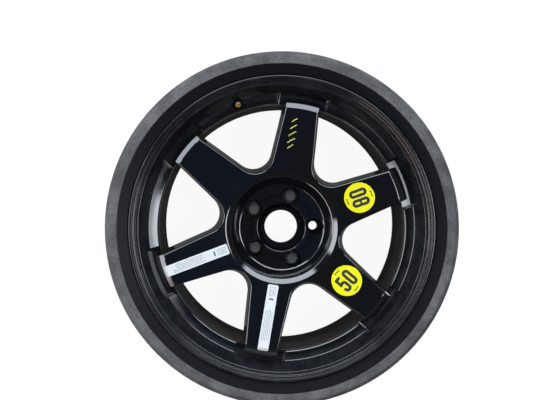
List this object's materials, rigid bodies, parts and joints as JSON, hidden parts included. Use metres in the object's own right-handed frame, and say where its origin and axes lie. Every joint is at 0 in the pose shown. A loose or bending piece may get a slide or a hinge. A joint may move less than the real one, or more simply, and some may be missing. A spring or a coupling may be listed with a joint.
{
  "type": "space saver spare wheel",
  "caption": "Spare wheel with a narrow folded tyre, a black cast rim with wide flat spokes, loose wheel bolts in the hub, a rubber snap-in valve and speed stickers.",
  "frame": {"origin": "centre of the hub's mounting face, on the wheel's axis", "axes": "+Z along the wheel's axis out of its front, +Y towards the top of the picture, +X to its right"},
  "size_m": [0.5769, 0.577, 0.1941],
  "materials": {
    "black_paint": "gloss black",
    "tyre_rubber": "matt, slightly dusty",
    "bolt_steel": "dark phosphate",
    "valve_rubber": "smooth",
    "brass": "turned",
    "gasket_red": "smooth",
    "spring_steel": "drawn wire",
    "sticker_yellow": "printed film",
    "sticker_white": "printed film"
  },
  "bodies": {
    "wheel": {"wheel_casting": "black_paint", "tyre": "tyre_rubber", "valve_rubber": "valve_rubber", "valve_stem": "brass", "core_housing": "brass", "core_gasket": "gasket_red", "core_spring": "spring_steel", "round_sticker_1": "sticker_yellow", "round_sticker_2": "sticker_yellow", "white_sticker_1": "sticker_white", "white_sticker_2": "sticker_white", "wheel_bolt_1": "bolt_steel", "wheel_bolt_2": "bolt_steel", "wheel_bolt_3": "bolt_steel", "wheel_bolt_4": "bolt_steel"},
    "valve_pin": {"core_pin": "brass", "core_seal": "valve_rubber"}
  },
  "joints": [
    {"name": "valve_pin_press", "type": "slide", "parent": "wheel", "child": "valve_pin", "axis": [-0.0804, 0.2282, -0.9703], "range_m": [0, 0.0012], "stiffness_N_per_m": 1500, "springref_m": -0.002, "deforming": ["core_spring"]}
  ]
}
